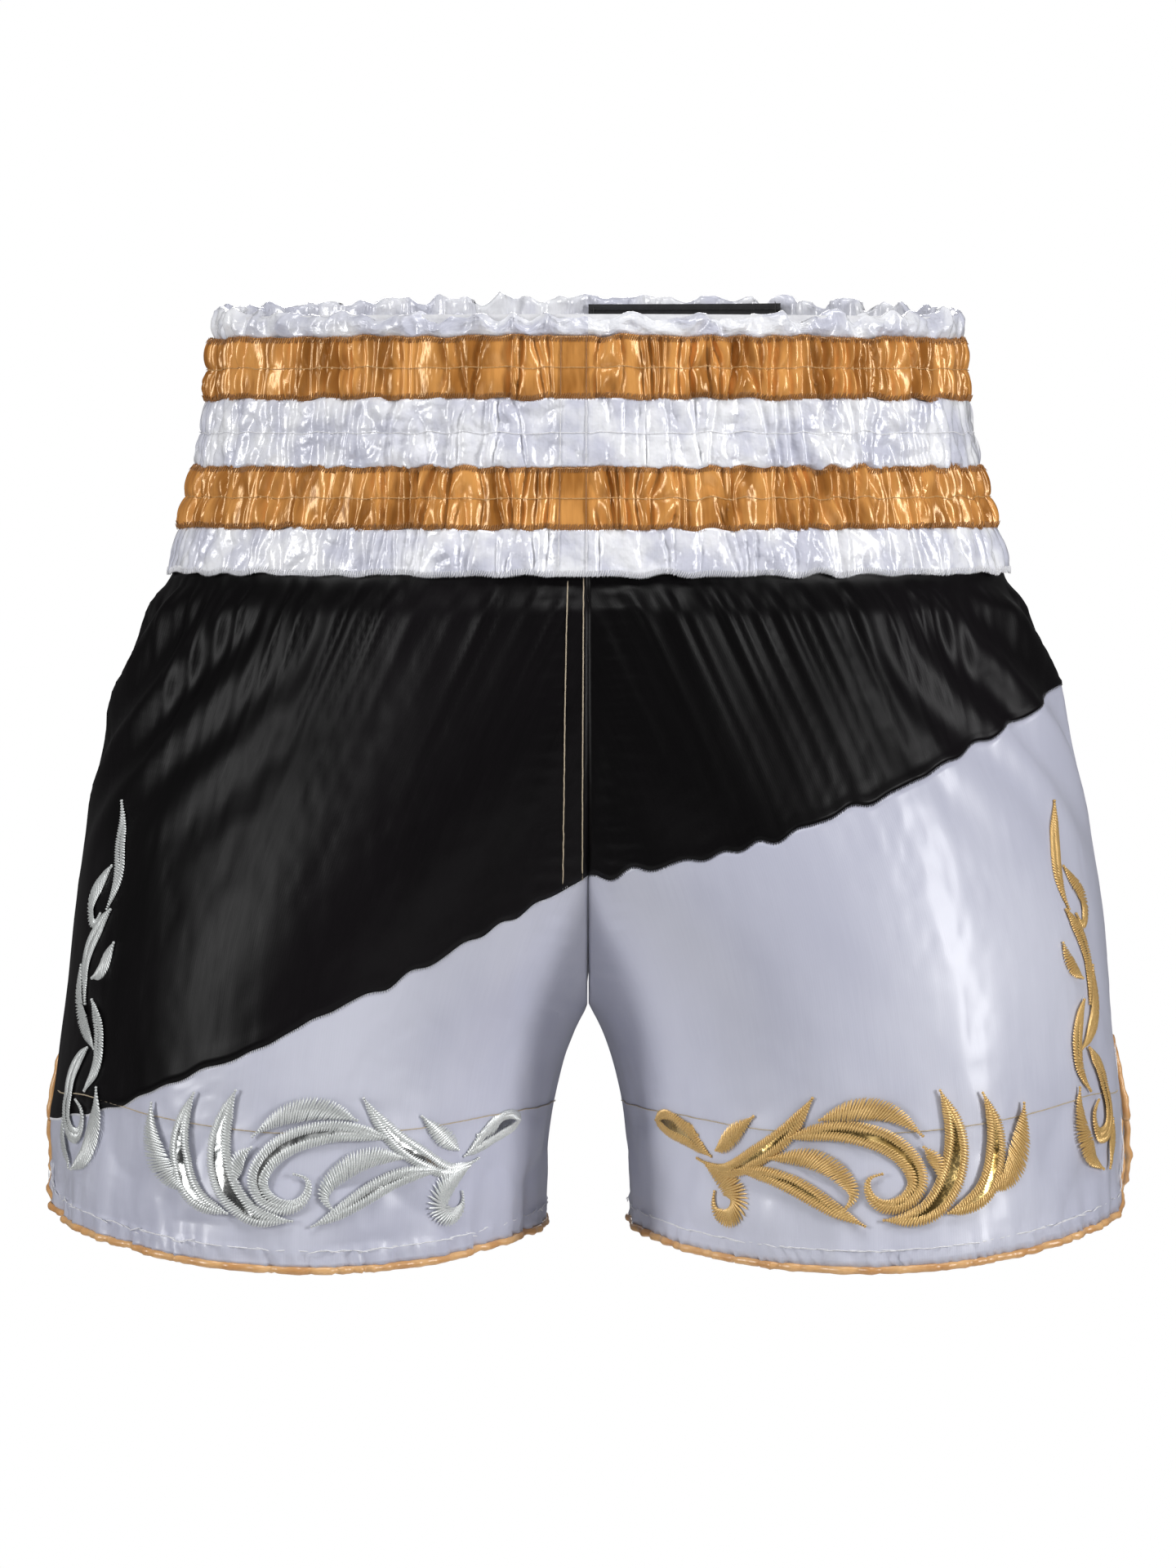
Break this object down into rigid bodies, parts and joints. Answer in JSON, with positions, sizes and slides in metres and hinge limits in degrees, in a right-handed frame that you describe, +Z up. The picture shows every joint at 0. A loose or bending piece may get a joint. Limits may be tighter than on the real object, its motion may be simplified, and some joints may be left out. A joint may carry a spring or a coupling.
{
  "type": "boxing shorts",
  "caption": "Loose satin boxing shorts in their worn shape, with a wide gathered elastic waistband, a slanting seam across the legs, side slits with bound edges and embroidered scrollwork.",
  "frame": {"origin": "centre of the waist opening, level with the rim of the waistband", "axes": "+Z up towards the wearer's head, the front of the shorts faces -Y, +X towards the wearer's left leg"},
  "size_m": [0.4174, 0.2402, 0.356],
  "materials": {
    "black_satin": "satin weave with a soft sheen",
    "white_satin": "satin weave with a soft sheen",
    "white_band_satin": "glossy satin, gathered",
    "gold_satin": "glossy satin, gathered",
    "white_facing": "matt reverse of satin",
    "white_lining": "matt plain weave",
    "elastic": "ribbed knitted elastic",
    "gold_binding": "satin bias binding",
    "gold_embroidery": "metallic thread over a foil applique",
    "silver_embroidery": "metallic thread over a foil applique",
    "black_patch": "plain woven",
    "black_seam_strip": "matt reverse of satin"
  },
  "bodies": {
    "root": {"back_centre_seam_fell": "black_seam_strip", "back_left_hem_binding": "gold_binding", "back_left_hem_facing": "white_facing", "back_left_lower_panel": "white_satin", "back_left_upper_panel": "black_satin", "back_right_hem_binding": "gold_binding", "back_right_hem_facing": "white_facing", "back_right_lower_panel": "white_satin", "back_right_upper_panel": "black_satin", "elastic_1": "elastic", "elastic_2": "elastic", "elastic_3": "elastic", "elastic_4": "elastic", "elastic_5": "elastic", "elastic_6": "elastic", "front_centre_seam_fell": "black_seam_strip", "front_left_hem_binding": "gold_binding", "front_left_hem_facing": "white_facing", "front_left_lower_panel": "white_satin", "front_left_upper_panel": "black_satin", "front_right_hem_binding": "gold_binding", "front_right_hem_facing": "white_facing", "front_right_lower_panel": "white_satin", "front_right_upper_panel": "black_satin", "gold_hem_applique_back": "gold_embroidery", "gold_hem_applique_front": "gold_embroidery", "gold_side_applique_back": "gold_embroidery", "gold_side_applique_front": "gold_embroidery", "inner_patch": "black_patch", "lower_gold_stripe": "gold_satin", "silver_hem_applique_back": "silver_embroidery", "silver_hem_applique_front": "silver_embroidery", "silver_side_applique_back": "silver_embroidery", "silver_side_applique_front": "silver_embroidery", "upper_gold_stripe": "gold_satin", "waistband_centre": "white_band_satin", "waistband_foot": "white_band_satin", "waistband_header": "white_band_satin", "waistband_join_tape": "white_lining", "waistband_lining": "white_lining"}
  },
  "joints": []
}
